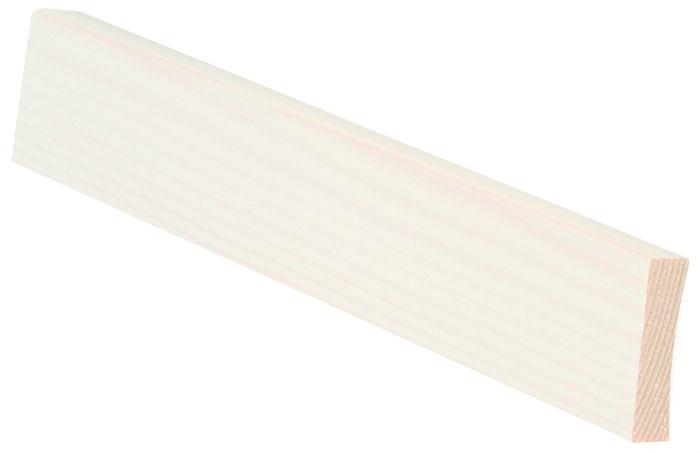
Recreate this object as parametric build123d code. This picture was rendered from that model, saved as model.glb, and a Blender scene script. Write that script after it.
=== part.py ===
from build123d import *
import math
import os

# Driving dimensions, in millimetres and degrees.
# X runs along the board, Y across its width towards the rounded edge, and Z from its back to its front.

# Board
length = 400.0             # along the longest arris, the front one of the plain edge
width = 58.0
rounded_edge_depth = 15.0  # the board is a little deeper at this edge than at the other
plain_edge_depth = 14.0

# Arrises, the long corners of the section. The back one of the plain edge is left sharp.
front_rounding = 4.2       # the front arris of the rounded edge, which shows beside the door or window
back_easing = 0.8          # the back arris of the rounded edge
plain_edge_easing = 1.2    # the front arris of the plain edge

# Hollow back, which lets the board sit on an uneven wall
hollow_depth = 2.2
land_width = 1.5           # flat strip left along each side of the hollow

# The far end was sawn out of square. Both angles shorten it towards the rounded edge and the back.
far_miter = 7.4            # seen from the front
far_bevel = 33.4           # seen from the edge


def section():
    """Cross-section, drawn flat: across the width in x and from the back to the front in y."""
    rounded_side = width / 2
    plain_side = -width / 2
    back_of_rounded_edge = (rounded_side, 0)
    front_of_rounded_edge = (rounded_side, rounded_edge_depth)
    front_of_plain_edge = (plain_side, plain_edge_depth)
    back_of_plain_edge = (plain_side, 0)

    outline = Polyline(
        back_of_rounded_edge, front_of_rounded_edge, front_of_plain_edge, back_of_plain_edge, close=True
    )
    shape = make_face(outline.edges())
    for corner, radius in (
        (back_of_rounded_edge, back_easing),
        (front_of_rounded_edge, front_rounding),
        (front_of_plain_edge, plain_edge_easing),
    ):
        shape = fillet(shape.vertices().sort_by_distance(corner)[0], radius)

    hollow_start = plain_side + land_width
    hollow_end = rounded_side - back_easing - land_width
    hollow_middle = (hollow_start + hollow_end) / 2
    arc = ThreePointArc((hollow_start, 0), (hollow_middle, hollow_depth), (hollow_end, 0))
    chord = Line(arc @ 1, arc @ 0)
    return shape - make_face([arc.edge(), chord.edge()])


def far_saw_plane():
    """Plane of the far sawn end, with its normal pointing along the board to the near end."""
    front_plain_corner = (-length / 2, -width / 2, plain_edge_depth)
    normal = (1, -math.tan(math.radians(far_miter)), math.tan(math.radians(far_bevel)))
    return Plane(origin=front_plain_corner, z_dir=normal)


def architrave():
    """Board of one section, square at the near end and out of square at the far one."""
    stock = extrude(Plane.YZ.offset(length / 2) * section(), -length)
    board = split(stock, bisect_by=far_saw_plane(), keep=Keep.TOP)
    board.label = "architrave"
    return board


os.makedirs("parts", exist_ok=True)
export_step(architrave(), "parts/architrave.step")
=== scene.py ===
import math

import bpy
import numpy as np
from mathutils import Matrix, Vector, noise


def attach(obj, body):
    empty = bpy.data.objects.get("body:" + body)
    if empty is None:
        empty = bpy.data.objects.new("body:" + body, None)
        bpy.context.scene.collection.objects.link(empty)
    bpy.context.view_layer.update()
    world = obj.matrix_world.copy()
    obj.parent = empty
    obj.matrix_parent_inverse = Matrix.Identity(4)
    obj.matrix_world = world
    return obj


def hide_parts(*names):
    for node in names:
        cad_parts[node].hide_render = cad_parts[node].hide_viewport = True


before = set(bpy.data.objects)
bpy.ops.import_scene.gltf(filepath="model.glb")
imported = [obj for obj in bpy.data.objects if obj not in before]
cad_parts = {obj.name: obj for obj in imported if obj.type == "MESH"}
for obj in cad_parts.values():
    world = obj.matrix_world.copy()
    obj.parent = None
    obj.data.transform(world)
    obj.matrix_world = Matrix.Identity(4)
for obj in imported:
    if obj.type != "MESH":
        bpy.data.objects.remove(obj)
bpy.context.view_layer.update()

# The board's section and length, in mm, as the CAD has them. X runs along the board, Y across it towards the
# rounded edge, Z from its back to its face.
MM = 0.001
NEAR_END = 200.0
HALF_WIDTH = 29.0
PLAIN_DEPTH = 14.0         # height of the face at the plain edge
FACE_MIDDLE = 14.5         # height of the face halfway across
FACE_SLOPE = 1.0 / 58.0    # the face rises towards the rounded edge
ROUNDING = 4.2             # front arris of the rounded edge
PLAIN_EASING = 1.2         # front arris of the plain edge
BACK_EASING = 0.8          # back arris of the rounded edge
HOLLOW = (-27.5, 26.7, 2.2)     # where the hollow back starts and ends, and its depth
MITER = math.tan(math.radians(7.4))      # how far the far end leans, across the face and through the depth
BEVEL = math.tan(math.radians(33.4))
ROUND_START = HALF_WIDTH - ROUNDING      # where the face turns into the rounded arris
ROUND_LEVEL = FACE_MIDDLE + ROUND_START * FACE_SLOPE - ROUNDING     # height at which that arris ends

# The growth rings
HEART_Y, HEART_Z = 57.0, 209.0    # the tree's heart, far above the face and beyond the rounded edge
HALF_DEPTH = 7.5                  # half the board's depth at the rounded edge
RING_ZERO = -11.58                # distance of the ring that the others are counted from
RING_SPACING = 2.033              # usual distance from one ring to the next

# Flecks that catch the light on the near sawn end: place in y and z, and size
FLECKS = (
    (26.2, 6.8, 0.45), (21.3, 9.8, 0.35), (9.1, 12.2, 0.45), (8.6, 10.1, 0.35), (0.0, 8.5, 0.35),
    (-2.4, 10.8, 0.4), (-7.6, 13.0, 0.4), (-11.0, 7.0, 0.7), (-15.4, 6.8, 0.45), (-22.0, 12.0, 0.35),
    (-22.0, 2.6, 0.4), (-24.4, 3.4, 0.45), (-25.1, 1.9, 0.4), (-26.0, 13.2, 0.35),
)
GRID = 0.26                # spacing of the mesh across the sawn ends
STEP = 3.4                 # spacing of the mesh along the board

# Depths of the relief
SIDE_RELIEF = 0.03         # early wood under late wood on the glazed and planed sides
FIBRE_RELIEF = 0.012       # fibres there
ARRIS_WEAR = 0.05          # unevenness of the two front arrises
END_RELIEF = 0.09          # early wood under late wood on the sawn ends
TORN_RELIEF = 0.03         # torn fibres there

GLAZED, SAWN, PLANED = range(3)     # the board's finishes, in the order of its material slots
WHITE = (1.0, 1.0, 1.0, 1.0)


# Nodes

class Amount:
    """A node's output. Arithmetic on it adds Math nodes to its material."""

    def __init__(self, finish, socket):
        self.finish = finish
        self.socket = socket

    def math(self, operation, *others):
        return self.finish.add("ShaderNodeMath", {"operation": operation}, dict(enumerate((self, *others))))

    def __add__(self, other):
        return self.math("ADD", other)

    def __sub__(self, other):
        return self.math("SUBTRACT", other)

    def __rsub__(self, other):
        return self.math("MULTIPLY", -1.0).math("ADD", other)

    def __mul__(self, other):
        return self.math("MULTIPLY", other)

    def __truediv__(self, other):
        return self.math("DIVIDE", other)

    def __rtruediv__(self, other):
        return self.math("POWER", -1.0).math("MULTIPLY", other)

    def __pow__(self, other):
        return self.math("POWER", other)

    __radd__ = __add__
    __rmul__ = __mul__


class Finish:
    """The nodes of a material, or of the world round the board, being made."""

    def __init__(self, owner):
        self.owner = owner
        owner.use_nodes = True
        self.tree = owner.node_tree
        self.tree.nodes.clear()

    def add(self, kind, settings=None, inputs=None, output=0):
        """A new node, with its settings and the values or links of its inputs."""
        node = self.tree.nodes.new(kind)
        for name, value in (settings or {}).items():
            if name == "stops":
                ramp = node.color_ramp
                while len(ramp.elements) < len(value):
                    ramp.elements.new(1.0)
                for element, (place, colour) in zip(ramp.elements, value):
                    element.position = place
                    element.color = colour
            else:
                setattr(node, name, value)
        for name, value in (inputs or {}).items():
            if isinstance(value, Amount):
                self.tree.links.new(value.socket, node.inputs[name])
            else:
                node.inputs[name].default_value = value
        return Amount(self, node.outputs[output] if node.outputs else None)

    def place(self):
        """The place in mm in the board's own frame, and its three coordinates."""
        where = self.add("ShaderNodeTexCoord", output="Object")
        where = self.add("ShaderNodeVectorMath", {"operation": "SCALE"}, {0: where, "Scale": 1.0 / MM})
        parts = [self.add("ShaderNodeSeparateXYZ", inputs={0: where}, output=axis) for axis in range(3)]
        return where, parts

    def stretched(self, where, along, across, through):
        """A place squeezed by three factors, for texture that is longer one way than another."""
        return self.add(
            "ShaderNodeVectorMath", {"operation": "MULTIPLY"}, {0: where, 1: (along, across, through)}
        )

    def noise(self, where, scale=1.0, detail=2.0, rough=0.5):
        """Noise from about -1 to 1."""
        inputs = {"Vector": where, "Scale": scale, "Detail": detail, "Roughness": rough}
        return (self.add("ShaderNodeTexNoise", inputs=inputs) - 0.5) * 2.6

    def blend(self, first, second, share):
        """Colour between two, by a share from 0 to 1."""
        return self.add("ShaderNodeMix", {"data_type": "RGBA"}, {0: share, 6: first, 7: second}, output=2)

    def brightened(self, colour, factor):
        return self.add("ShaderNodeVectorMath", {"operation": "SCALE"}, {0: colour, "Scale": factor})

    def tinted(self, colour, tint, share):
        """Colour with its three parts multiplied, by a share from 0 to 1."""
        changed = self.add("ShaderNodeVectorMath", {"operation": "MULTIPLY"}, {0: colour, 1: tint})
        return self.blend(colour, changed, share)

    def mottled(self, colour, where, amount):
        """Colour with each of its three parts a little lighter here and darker there."""
        inputs = {"Vector": where, "Scale": 1.0, "Detail": 2.0}
        parts = self.add("ShaderNodeTexNoise", inputs=inputs, output=1)
        inputs = {0: parts, 1: (amount,) * 3, 2: (1.0 - amount / 2,) * 3}
        parts = self.add("ShaderNodeVectorMath", {"operation": "MULTIPLY_ADD"}, inputs)
        return self.add("ShaderNodeVectorMath", {"operation": "MULTIPLY"}, {0: colour, 1: parts})

    def bump(self, height, depth):
        """Normal from a height from 0 to 1, depth in mm."""
        inputs = {"Height": height, "Strength": 1.0, "Distance": depth * MM}
        return self.add("ShaderNodeBump", inputs=inputs)

    def surface(self, **inputs):
        """Ends the material with one Principled shader."""
        inputs = {name.replace("_", " "): value for name, value in inputs.items()}
        shader = self.add("ShaderNodeBsdfPrincipled", inputs=inputs)
        self.add("ShaderNodeOutputMaterial", inputs={"Surface": shader})
        return self.owner


def paint(red, green, blue):
    """A pale colour written as a screen shows it, 0 to 255, as Blender's linear colour."""
    return tuple(((part / 255 + 0.055) / 1.055) ** 2.4 for part in (red, green, blue)) + (1.0,)


def whole(value):
    """Nearest whole number, of an array or of a node's output."""
    return value.math("ROUND") if isinstance(value, Amount) else np.round(value)


def sine(value):
    """Sine of an array, or of a node's output."""
    return value.math("SINE") if isinstance(value, Amount) else np.sin(value)


def wave(value, start, length):
    """A sine wave that rises through 0 at start."""
    return sine((value - start) * (2 * math.pi / length))


def hump(value, centre, width):
    """1 at the centre, falling smoothly to 0 about two widths off."""
    return 1.0 / (1.0 + ((value - centre) / width) ** 2) ** 2


def spots(y, z):
    """Flecks of resin and of torn wood on the near sawn end, 1 in the middle of each; the near end's colour
    paints them as highlights.
    """
    total = 0.0
    for place_y, place_z, size in FLECKS:
        total = total + hump((y - place_y) ** 2 + (z - place_z) ** 2, 0.0, size ** 2)
    return total


def ramped(value, start, end):
    """0 before start and 1 after end, for a node's output."""
    return value.finish.add(
        "ShaderNodeMapRange",
        {"interpolation_type": "SMOOTHSTEP"},
        {"Value": value, "From Min": start, "From Max": end},
    ) if start < end else 1.0 - ramped(value, end, start)


# Growth rings

def ring_distance(x, y, z):
    """Distance from the tree's heart, less that of the board's middle, in mm. It drifts along the board."""
    across = y / HALF_WIDTH
    through = (z - HALF_DEPTH) / HALF_DEPTH
    section = ((y - HEART_Y) ** 2 + (z - HEART_Z) ** 2) ** 0.5 - math.hypot(HEART_Y, HEART_Z - HALF_DEPTH)
    section = section + 0.36 * across ** 2 - 0.10 * across ** 3 + 0.37 * through ** 2
    drift = 0.0073 * (NEAR_END - x) - 0.107 * wave(x, -42.0, 308.0) + 0.08 * wave(x, -27.0, 117.0)
    skew = y * (0.0104 + 0.0168 / (1.0 + ((x + 62.0) / 72.0) ** 2))
    bends = 0.05 * sine(x * 0.097 + y * 0.14) + 0.03 * sine(x * 0.21 - y * 0.2)
    bends = bends + 0.012 * (FACE_MIDDLE - z) * sine(z * 0.9 + y * 0.25)
    return section + drift + skew + bends


def ring_count(distance):
    """Number of the ring, whole where its dark late wood is."""
    even = (distance - RING_ZERO) / RING_SPACING - 0.21 * hump(distance, -6.3, 1.8)
    return even + 0.11 * wave(distance, 14.2, 18.0) + 0.128 * wave(distance, 4.3, 13.5)


def from_late_wood(count):
    """Distance in mm from the nearest late wood, less than 0 towards the heart."""
    return (count - whole(count)) * 2.0


# The board's mesh

def front_of(y):
    """Height of the face at y, its arrises included."""
    z = FACE_MIDDLE + y * FACE_SLOPE
    lean = math.hypot(1.0, FACE_SLOPE)
    for side, radius in ((1.0, ROUNDING), (-1.0, PLAIN_EASING)):
        centre = side * (HALF_WIDTH - radius)
        middle = FACE_MIDDLE + centre * FACE_SLOPE - radius * lean
        touch = centre - radius * FACE_SLOPE / lean
        arc = middle + np.sqrt(np.maximum(radius ** 2 - (y - centre) ** 2, 0.0))
        z = np.where(side * y > side * touch, arc, z)
    return z


def back_of(y):
    """Height of the back at y: the hollow, a flat strip each side of it and the eased arris."""
    start, end, depth = HOLLOW
    middle, half = (start + end) / 2, (end - start) / 2
    radius = (half ** 2 + depth ** 2) / (2 * depth)
    z = np.sqrt(radius ** 2 - (y - middle) ** 2) - radius + depth
    z = np.where((y > start) & (y < end), z, 0.0)
    centre = HALF_WIDTH - BACK_EASING
    arc = BACK_EASING - np.sqrt(np.maximum(BACK_EASING ** 2 - (y - centre) ** 2, 0.0))
    return np.where(y > centre, arc, z)


def far_end_at(y, z):
    """Place of the far sawn end along the board."""
    return -NEAR_END + MITER * (y + HALF_WIDTH) + BEVEL * (PLAIN_DEPTH - z)


def columns():
    """Places across the width, closer together on the arrises."""
    turn = np.linspace(0.0, math.pi / 2, 15)
    rounded = HALF_WIDTH - ROUNDING * (1 - np.sin(turn))
    eased = HALF_WIDTH - BACK_EASING * (1 - np.sin(turn[::3]))
    plain = -HALF_WIDTH + PLAIN_EASING * (1 - np.sin(turn[::2]))
    flat = np.arange(-HALF_WIDTH + PLAIN_EASING, ROUND_START, GRID)
    places = np.sort(np.concatenate([plain, flat, rounded, eased, HOLLOW[:2]]))
    apart = np.diff(places) > 0.02
    return places[np.concatenate([[True], apart])]


def stations():
    """Places along the board as shares of its length, from the near end, closer together at both ends."""
    near = np.array([0.0, 0.2, 0.45, 0.8, 1.3, 2.0, 3.0, 4.5, 6.5, 9.0])
    length = 2 * NEAR_END
    middle = np.linspace(near[-1], length - near[-1], int((length - 2 * near[-1]) / STEP))
    return np.concatenate([near[:-1], middle, (length - near[:-1])[::-1]]) / length


def smooth_noise(points, size, seed):
    """Noise from -1 to 1 at points in mm, with features of that size."""
    shift = Vector((seed * 17.3, seed * 5.1, seed * 9.7))
    return np.array([noise.noise(Vector(p) / size + shift) for p in points])


def section_grid():
    """The section's points in rows from back to face, as arrays of their places across and their heights."""
    across = columns()
    rows = int(round(FACE_MIDDLE / GRID))
    share = np.linspace(0.0, 1.0, rows)[:, None]
    low, high = back_of(across), front_of(across)
    return np.broadcast_to(across, (rows, len(across))), low + share * (high - low)


def outline_of(rows, count):
    """The grid's outline, anticlockwise as the near end shows it, as rows and columns of the grid."""
    outline = [(0, j) for j in range(count)]
    outline += [(i, count - 1) for i in range(1, rows)]
    outline += [(rows - 1, j) for j in range(count - 2, -1, -1)]
    outline += [(i, 0) for i in range(rows - 2, 0, -1)]
    return np.array(outline).T


def board_points(grid_y, grid_z, edge_y, edge_z, along):
    """The near end's grid, the far end's, and the outlines between them, from near to far."""
    places = (np.full(grid_y.shape, NEAR_END), far_end_at(grid_y, grid_z))
    ends = [np.stack([place, grid_y, grid_z], -1).reshape(-1, 3) for place in places]
    run = NEAR_END - far_end_at(edge_y, edge_z)
    between = [np.stack([NEAR_END - run * share, edge_y, edge_z], -1) for share in along[1:-1]]
    return np.concatenate(ends + between)


def give_relief(points, loops, edge_y, edge_z, size):
    """Sinks the points a little: never outwards, so that the board stays inside its CAD solid.

    Late wood stands proud of the early wood on every surface. size is the number of points in an end's grid.
    """
    run = np.stack([np.roll(edge_y, -1) - np.roll(edge_y, 1), np.roll(edge_z, -1) - np.roll(edge_z, 1)], 1)
    run /= np.linalg.norm(run, axis=1)[:, None]
    outward = np.zeros_like(points)
    for loop in loops:
        outward[loop, 1], outward[loop, 2] = run[:, 1], -run[:, 0]
    x, y, z = points.T
    offset = from_late_wood(ring_count(ring_distance(x, y, z)))
    late = hump(offset, -0.1, 0.5)
    fibres = smooth_noise(points * (0.08, 1.0, 1.0), 0.9, 1)
    sag = SIDE_RELIEF * (1 - late) + FIBRE_RELIEF * (fibres + 1)

    # The two front arrises are uneven, most of all in the middle of each
    arris = np.zeros(len(points))
    uneven = smooth_noise(points * (0.1, 0.25, 0.25), 1.0, 2) + 1
    near_round = hump(np.hypot(edge_y - 28.0, edge_z - 13.6), 0.0, 2.5)
    near_plain = hump(np.hypot(edge_y + HALF_WIDTH, edge_z - 13.8), 0.0, 0.9)
    for loop in loops:
        arris[loop] = (near_round + near_plain) * uneven[loop]
    points -= outward * (sag + ARRIS_WEAR * arris)[:, None]

    # A little wood broke away with the glaze along the near end's front, nearer the rounded edge
    torn = np.clip((edge_y - 4.2) / 0.8, 0, 1) * np.clip((25.6 - edge_y) / 2.0, 0, 1) * (edge_z > 13.5)
    for loop, share in zip(loops, (1.0, 0.45)):
        ragged = smooth_noise(points[loop] * (0.0, 1.0, 1.0), 0.8, 3)
        points[loop, 2] -= torn * share * (0.22 + 0.10 * ragged)

    # Sawn ends: rings and torn fibres, sunk straight along the board
    ends = points[: 2 * size]
    fuzz = smooth_noise(ends, 0.55, 4) + 0.5 * smooth_noise(ends, 1.6, 5)
    ridge = hump(offset[: 2 * size], -0.35, 0.4)
    depth = END_RELIEF * (1 - ridge) + TORN_RELIEF * (fuzz + 1.5)
    depth[:size] *= 1.0 - np.minimum(spots(y[:size], z[:size]), 1.0)
    points[:size, 0] -= depth[:size]
    points[size:2 * size, 0] += depth[size:] * math.hypot(1.0, MITER, BEVEL)


def board_faces(rows, count, row_of, loops):
    """Faces of the two ends and of the sides between them, and the finish of each."""
    faces = []
    finishes = []
    size = rows * count
    for k in (0, 1):
        for i in range(rows - 1):
            for j in range(count - 1):
                corner = k * size + i * count + j
                face = (corner, corner + 1, corner + count + 1, corner + count)
                faces.append(face if k == 0 else face[::-1])
                finishes.append(SAWN)
    on_back = (row_of == 0) & (np.roll(row_of, -1) == 0)
    for first, second in zip(loops[:-1], loops[1:]):
        for p in range(len(row_of)):
            q = (p + 1) % len(row_of)
            faces.append((first[p], second[p], second[q], first[q]))
            finishes.append(PLANED if on_back[p] else GLAZED)
    return faces, finishes


def make_board():
    """The whole board: a grid of points on each sawn end, and outlines only between the two."""
    grid_y, grid_z = section_grid()
    rows, count = grid_y.shape
    size = grid_y.size
    row_of, column_of = outline_of(rows, count)
    edge_y, edge_z = grid_y[row_of, column_of], grid_z[row_of, column_of]
    along = stations()
    points = board_points(grid_y, grid_z, edge_y, edge_z, along)

    outline = row_of * count + column_of
    between = 2 * size + np.arange((len(along) - 2) * len(outline)).reshape(-1, len(outline))
    loops = [outline, *between, size + outline]
    give_relief(points, loops, edge_y, edge_z, size)
    faces, finishes = board_faces(rows, count, row_of, loops)

    mesh = bpy.data.meshes.new("glazed_board")
    mesh.from_pydata((points * MM).tolist(), [], faces)
    mesh.polygons.foreach_set("material_index", finishes)
    mesh.shade_smooth()
    mesh.set_sharp_from_angle(angle=math.radians(38))
    mesh.validate()
    board = bpy.data.objects.new("glazed_board", mesh)
    bpy.context.collection.objects.link(board)
    return board


# Finishes

def glazed_pine():
    """White glaze on the face and the edges, with the grain showing faintly through it."""
    f = Finish(bpy.data.materials.new("glazed_pine"))
    where, (x, y, z) = f.place()
    # The lines of the face run on over the rounded arris
    face_height = FACE_MIDDLE + y * FACE_SLOPE
    over = ramped(y, 20.0, 24.0)
    count = ring_count(ring_distance(x, y, z + (face_height - z) * over))
    ring = whole(count)
    zero = hump(ring, 0.0, 0.5)
    offset = from_late_wood(count) - 0.06 - 0.2 * zero
    offset = offset - 0.35 * hump(ring, 3.5, 0.8) * ramped(x, -135.0, -175.0)
    offset = offset + 0.25 * ramped(y, 21.5, 25.0) * zero * ramped(x, 150.0, 115.0)
    offset = offset - 0.15 * ramped(y, 23.5, 28.0)
    offset = offset + 0.55 * ramped(y, 22.5, 26.5) * ramped(x, -85.0, -150.0)
    far = ramped(x, 190.0, -190.0)
    middle = hump(x, 20.0, 150.0)
    patches = f.noise(f.stretched(where, 0.03, 0.15, 0.15), detail=1.0)
    fibres = f.noise(f.stretched(where, 0.06, 2.2, 2.2), detail=3.0)
    mottle = f.noise(f.stretched(where, 0.6, 1.0, 1.0), detail=3.0)
    speckle = f.noise(f.stretched(where, 0.9, 1.5, 1.5), detail=2.0)
    cloud = f.noise(f.stretched(where, 0.03, 0.08, 0.08))

    # Ground: warmer at the near end, with the rounded edge yellower, and painted shade that darkens the edge
    # towards the back, next to the floor
    face = f.blend(paint(239, 237, 225), paint(238, 240, 230), far)
    face = f.blend(face, paint(246, 240, 231), middle * 0.7)
    face = f.blend(face, f.blend(paint(237, 242, 228), paint(249, 237, 231), mottle * 0.5 + 0.5), 0.3)
    edge = f.blend(paint(246, 239, 225), paint(237, 238, 226), far)
    # Painted shade: the edge's colour low down, beside the floor
    shaded_low_edge = f.blend(paint(233, 232, 219), paint(229, 233, 221), far)
    shaded_low_edge = f.blend(shaded_low_edge, paint(238, 235, 223), ramped(x, -130.0, -60.0) * ramped(x, 190.0, 150.0))
    edge = f.blend(edge, shaded_low_edge, ramped(z, 10.0, 1.5))
    # Painted shade on the back arris, deeper towards the far end
    backward = ramped(x, 20.0, -60.0)
    back_arris_shade = f.blend(paint(225, 230, 232), paint(215, 222, 220), backward)
    edge = f.blend(edge, back_arris_shade, ramped(z, 3.2, 1.0) * (0.2 + 0.15 * backward))
    # How far the surface has turned from the face to the rounded edge, in degrees
    turn = (y - ROUND_START).math("ARCTAN2", z - ROUND_LEVEL) * (180 / math.pi)
    colour = f.blend(face, edge, ramped(turn, 50.0, 84.0))

    # Late wood shows as a soft line, purplish in the middle rings and redder in the others
    strength = 0.77 + 0.22 * wave(ring, -1.875, 7.5) + 0.35 * hump(ring, 0.0, 0.8) + 0.22 * patches
    strength = strength * (1.0 + 0.3 * ramped(y, -25.0, -27.5)) * (1.0 - ramped(turn, 45.0, 70.0))
    strength = strength + 0.2 * hump(ring, 2.0, 0.6) * (0.6 + far) - 0.08 * hump(ring, 1.0, 0.6)
    strength = strength + 0.13 * hump(ring, 5.0, 0.5)
    along = 0.12 * hump(x, 20.0, 60.0) + 0.28 * zero * hump(x, 70.0, 55.0) - 0.25 * ramped(x, 140.0, 180.0)
    strength = strength * (1.0 + 0.25 * speckle - along)
    purple = hump(ring, 3.3, 3.0) * (0.4 + 0.6 * far)
    line = f.blend(f.blend(paint(241, 232, 222), paint(238, 233, 225), far), paint(239, 234, 228), purple)
    line = f.blend(line, paint(246, 232, 225), 0.18 * middle)
    redder = f.blend(paint(244, 229, 222), paint(245, 221, 218), ramped(x, 135.0, 175.0))
    line = f.blend(line, f.blend(redder, paint(242, 232, 226), far), ramped(y, 19.0, 26.0))
    width = 0.53 + 0.14 * zero * ramped(x, 150.0, 110.0) + 0.08 * patches
    width = width - 0.15 * ramped(y, 15.0, 22.0) * ramped(ring, 2.0, 1.0)
    band = hump(offset + 0.1 * mottle, 0.0, width)
    colour = f.blend(colour, line, band * strength)

    # Thin glaze on the rounded arris: cream, with two red lines that cross it slowly
    on_round = ramped(z, 10.0, 10.8)
    worn = 0.85 + 0.3 * f.noise(f.stretched(where, 0.08, 0.4, 0.4))
    cream = f.blend(paint(250, 240, 225), paint(241, 237, 224), ramped(x, 0.0, -110.0))
    colour = f.blend(colour, cream, hump(turn, 64.0, 26.0) * on_round * 0.9)
    first = hump(turn - 0.28 * x, 85.0, 17.0) * ramped(x, -45.0, -75.0)
    first = first * (1.0 - 0.4 * ramped(x, -130.0, -185.0))
    second = hump(turn - 0.105 * x, 44.0, 18.0) * ramped(x, -34.0, -12.0)
    second = second * (1.0 - 0.15 * ramped(x, 90.0, 170.0))
    red = (first + second) * worn * on_round
    colour = f.blend(colour, f.blend(paint(249, 228, 217), paint(244, 228, 221), far), red)
    colour = f.tinted(colour, (1.01, 1.0, 1.0), hump(turn, 34.0, 16.0) * ramped(x, -60.0, -100.0))
    # A thin spot in the glaze on the plain edge's front arris, and painted light along that arris, near
    # white
    thin = hump(y, -27.6, 0.5) * hump(x, 0.0, 110.0)
    colour = f.blend(colour, paint(251, 234, 223), thin * worn * 0.7 * ramped(z, 12.2, 13.4))
    # Painted light: the plain edge's front arris painted near white
    plain_arris_light = ramped(y, -27.8, -28.4) * ramped(z, 11.8, 12.8) * (0.6 + 0.4 * far)
    colour = f.blend(colour, paint(255, 247, 240), plain_arris_light)

    # Bare wood where the glaze broke away beside the near end, most of it round the arris
    ragged = f.noise(where, 0.9, detail=3.0)
    strip = 2.0 * ramped(turn, 26.0, 60.0) * ramped(z, 2.5, 10.0) * ramped(y, 24.0, 26.0) + 0.3 * ragged
    bare = ramped(NEAR_END - x - strip, 0.15, -0.15) * ramped(z, 2.5, 3.5)
    wood = f.blend(paint(237, 207, 183), paint(251, 230, 208), ramped(turn, 58.0, 80.0))
    colour = f.blend(colour, f.brightened(wood, 1.0 + 0.05 * ragged), bare)

    # A hair-like fleck, and a small green smudge
    fleck = hump(x - 156.0 - 0.5 * (y + 14.0), 0.0, 0.35) * hump(y, -14.0, 1.5)
    colour = f.blend(colour, paint(205, 208, 203), fleck * 0.5)
    smudge = hump(x, 114.0, 3.0) * hump(y, -1.5, 1.2)
    colour = f.blend(colour, paint(230, 235, 224), smudge * 0.4)
    # Painted shade: the colour is a little darker round the arris, most of all beside the near end
    shade_round_arris = 0.055 * ramped(turn, -30.0, 50.0) * ramped(turn, 88.0, 60.0)
    shade_round_arris = shade_round_arris + 0.04 * ramped(x, 110.0, 180.0) * ramped(turn, 50.0, 75.0) * ramped(z, 5.5, 9.0)
    colour = f.brightened(colour, 1.0 - shade_round_arris + 0.008 * fibres + 0.006 * cloud)
    colour = f.mottled(colour, f.stretched(where, 0.5, 1.0, 1.0), 0.115)

    height = 0.5 + 0.2 * fibres + 0.06 * f.noise(where, 3.0)
    return f.surface(
        Base_Color=colour,
        Roughness=0.6 + 0.05 * fibres,
        Specular_IOR_Level=0.25,
        Normal=f.bump(height, 0.02),
    )


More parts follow.
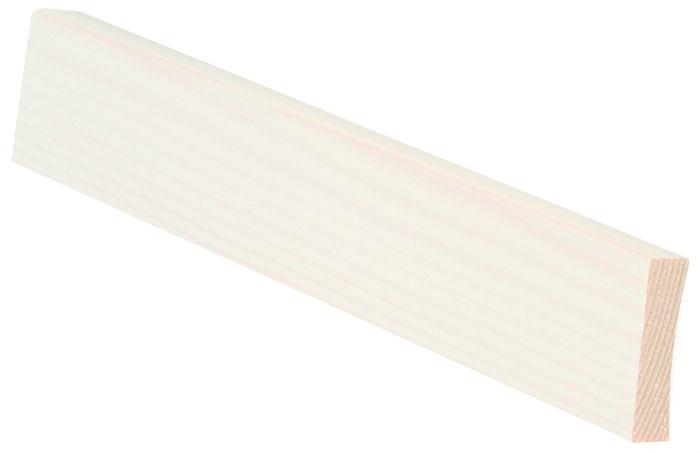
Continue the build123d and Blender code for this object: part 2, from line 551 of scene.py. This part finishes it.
def sawn_pine():
    """Bare end grain: rings with a pale line beside each dark one, pores and resin."""
    f = Finish(bpy.data.materials.new("sawn_pine"))
    where, (x, y, z) = f.place()
    count = ring_count(ring_distance(x, y, z))
    ring = whole(count)
    pores = f.noise(where, 1.55, detail=3.0, rough=0.75)
    blotch = f.noise(where, 0.7)
    offset = from_late_wood(count) + 0.06 * f.noise(where, 0.8)
    share = (offset + 1.0) / 2.0
    # Each ring: a pale line, then the dark late wood; partly the wood's own tone, partly painted light and
    # shade on the two flanks of a late-wood ridge
    stops = (
        (0.0, paint(230, 209, 186)),
        (0.09, paint(234, 216, 197)),
        (0.16, paint(242, 230, 221)),
        (0.25, paint(238, 219, 205)),
        (0.38, paint(225, 201, 181)),
        (0.49, paint(198, 159, 134)),
        (0.60, paint(224, 197, 170)),
        (0.72, paint(234, 207, 180)),
        (1.0, paint(230, 209, 186)),
    )
    rings = f.add("ShaderNodeValToRGB", {"stops": stops}, {"Fac": share})
    patches = f.noise(f.stretched(where, 0.3, 0.3, 0.3), detail=2.0)
    clear = 0.85 - 0.5 * hump(ring, 3.2, 0.9) - 0.3 * hump(ring, 0.6, 1.3) - 0.4 * hump(ring, 12.3, 0.7)
    clear = clear + 0.25 * hump(ring, 5.6, 0.9) + 0.25 * hump(ring, 10.5, 0.7) - 0.1 * hump(ring, 8.2, 0.8)
    clear = clear - 0.3 * hump(ring, 1.0, 0.5) - 0.2 * hump(ring, 3.0, 0.5)
    clear = clear - 0.35 * hump(ring, 4.0, 0.4) * ramped(y, 6.0, -2.0) + 0.2 * patches
    colour = f.blend(paint(229, 207, 184), rings, clear.math("MINIMUM", 1.0))

    # Depth under the face and the rounded side, and under the plain side too
    past_y = (y - ROUND_START).math("MAXIMUM", 0.0)
    past_z = (z + (ROUND_START - y) * FACE_SLOPE - ROUND_LEVEL).math("MAXIMUM", 0.0)
    inset = ROUNDING - (past_y ** 2 + past_z ** 2) ** 0.5
    around = inset.math("MINIMUM", y + HALF_WIDTH)

    # Greener towards the back, orange at the plain side, and the late wood darker in a few rings
    colour = f.tinted(colour, (0.96, 1.02, 1.0), 0.5 * ramped(z, 6.0, 2.2))
    colour = f.blend(colour, paint(255, 215, 193), ramped(y, -27.2, -28.4) * ramped(z, 5.0, 8.0) * 0.3)
    dark = hump(offset, 0.1, 0.4) * hump(ring, 6.0, 0.4) * ramped(y, 8.0, 18.0)
    colour = f.blend(colour, paint(203, 166, 140), dark * 0.5)
    darker = hump(offset, 0.0, 0.3) * hump(ring, 10.6, 0.7)
    colour = f.blend(colour, paint(186, 145, 118), darker * 0.4)
    # A thin patchy lip where the glaze soaked in from the face, wider on the rounded arris
    lip_patches = ramped(f.noise(f.stretched(where, 0.0, 0.3, 0.0)), -0.4, 0.5)
    lip = f.blend(paint(237, 202, 180), paint(249, 230, 217), lip_patches)
    wider = 0.5 * hump(y, 25.0, 3.5) * ramped(z, 11.0, 13.0)
    colour = f.blend(colour, lip, ramped(inset + 0.2 * blotch - wider, 0.5, 0.15) * 0.85)

    # Speckle, torn fibres and pores, under a warm rim
    tint = f.noise(where, 1.3, detail=2.0)
    colour = f.blend(colour, f.blend(paint(226, 214, 184), paint(238, 196, 184), tint * 0.6 + 0.5), 0.3)
    torn = ramped(f.noise(where, 1.9, detail=2.0), 0.5, 1.1)
    colour = f.blend(colour, paint(250, 236, 223), torn * 0.5)
    colour = f.blend(colour, paint(202, 173, 139), ramped(pores, 0.02, -0.7))
    colour = f.blend(colour, paint(254, 246, 238), ramped(pores, 0.03, 0.8))
    rim = ramped(around + 0.5 * blotch, 3.6, 0.8) * (0.65 + 0.25 * ramped(y, -22.0, -27.0) + 0.35 * patches)
    colour = f.tinted(colour, (1.12, 1.01, 1.02), rim)
    colour = f.brightened(colour, 1.0 + 0.02 * blotch)
    colour = f.mottled(colour, f.stretched(where, 1.1, 1.1, 1.1), 0.09)
    # Painted highlights: the flecks near white, where they catch the light
    near = ramped(x, 190.0, 199.0)
    flecks = spots(y + 0.2 * f.noise(where, 1.5), z + 0.2 * f.noise(where, 1.7))
    colour = f.blend(colour, paint(253, 240, 224), flecks * near * (0.85 + 0.1 * pores))

    height = 0.5 + 0.25 * pores
    return f.surface(Base_Color=colour, Roughness=0.8, Normal=f.bump(height, 0.08))


def planed_pine():
    """Bare hollow back: clear grain, and the planer's knife marks across it."""
    f = Finish(bpy.data.materials.new("planed_pine"))
    where, (x, y, z) = f.place()
    wander = f.noise(f.stretched(where, 0.02, 0.25, 0.25))
    offset = from_late_wood(ring_count(ring_distance(x, y, z) + 0.06 * wander))
    colour = f.blend(paint(236, 214, 186), paint(212, 172, 132), hump(offset, 0.0, 0.45))
    fibres = f.noise(f.stretched(where, 0.05, 2.0, 2.0), detail=3.0)
    colour = f.brightened(colour, 1.0 + 0.04 * fibres)
    knife = wave(x, 0.0, 1.8)
    height = 0.5 + 0.2 * fibres + 0.1 * knife
    return f.surface(Base_Color=colour, Roughness=0.7 + 0.05 * fibres, Normal=f.bump(height, 0.03))


# Studio

def white_for_the_camera(f, shader, white):
    """Shows plain white to the camera, and in gloss and glass, and the given shader to all other rays."""
    kinds = ("Camera", "Glossy", "Transmission")
    camera, gloss, glass = [f.add("ShaderNodeLightPath", output=f"Is {kind} Ray") for kind in kinds]
    share = camera.math("MAXIMUM", gloss).math("MAXIMUM", glass)
    return f.add("ShaderNodeMixShader", inputs={0: share, 1: shader, 2: white})


def make_floor():
    """A plain pale floor, which the camera sees as white with a faint shadow under the board."""
    f = Finish(bpy.data.materials.new("pale_floor"))
    plain = f.add("ShaderNodeBsdfDiffuse", inputs={"Color": (0.75, 0.75, 0.75, 1.0)})
    glow = f.add("ShaderNodeEmission", inputs={"Color": WHITE, "Strength": 1.04})
    shade = f.add("ShaderNodeBsdfDiffuse", inputs={"Color": (0.95, 0.95, 0.95, 1.0)})
    white = f.add("ShaderNodeMixShader", inputs={0: 0.14, 1: glow, 2: shade})
    f.add("ShaderNodeOutputMaterial", inputs={"Surface": white_for_the_camera(f, plain, white)})
    half = 30.0
    corners = [(-half, -half, 0), (half, -half, 0), (half, half, 0), (-half, half, 0)]
    mesh = bpy.data.meshes.new("floor")
    mesh.from_pydata(corners, [], [(0, 1, 2, 3)])
    mesh.materials.append(f.owner)
    floor = bpy.data.objects.new("floor", mesh)
    bpy.context.collection.objects.link(floor)


def light_the_studio():
    """A soft world that the camera sees as white, a large lamp beside the rounded edge, and a weak fill."""
    f = Finish(bpy.data.worlds.new("studio"))
    light = f.add("ShaderNodeBackground", inputs={"Color": WHITE, "Strength": 0.6})
    seen = f.add("ShaderNodeBackground", inputs={"Color": WHITE, "Strength": 1.0})
    f.add("ShaderNodeOutputWorld", inputs={"Surface": white_for_the_camera(f, light, seen)})
    bpy.context.scene.world = f.owner

    lamps = (
        ("key", (4.1, 4.5, 4.35), 4.8, 310.0),
        ("fill", (0.3, -3.0, 1.7), 3.2, 35.0),
    )
    for name, place, size, energy in lamps:
        lamp = bpy.data.lights.new(name, "AREA")
        lamp.shape = "DISK"
        lamp.size = size
        lamp.energy = energy
        box = bpy.data.objects.new(name, lamp)
        box.location = place
        box.rotation_mode = "QUATERNION"
        box.rotation_quaternion = (-box.location).to_track_quat("-Z", "Y")
        bpy.context.collection.objects.link(box)


def set_the_camera():
    """A long lens that looks down on the near end from the rounded edge's side, turned a little askew."""
    place = Vector((1.84589, 0.44392, 1.17648))
    forward = Vector((-0.82523, -0.20158, -0.52761)).normalized()
    right = Vector((0.5187, 0.09915, -0.84919))
    up = right.cross(forward).normalized()
    right = forward.cross(up)
    turn = Matrix((right, up, -forward)).transposed()

    eye = bpy.data.cameras.new("camera")
    eye.sensor_width = 36.0
    eye.lens = 345.95
    camera = bpy.data.objects.new("camera", eye)
    camera.matrix_world = Matrix.Translation(place) @ turn.to_4x4()
    bpy.context.collection.objects.link(camera)
    bpy.context.scene.camera = camera


board = make_board()
for finish in (glazed_pine(), sawn_pine(), planed_pine()):
    board.data.materials.append(finish)
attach(board, "root")
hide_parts("architrave")

make_floor()
light_the_studio()
set_the_camera()
bpy.context.scene.view_settings.view_transform = "Standard"
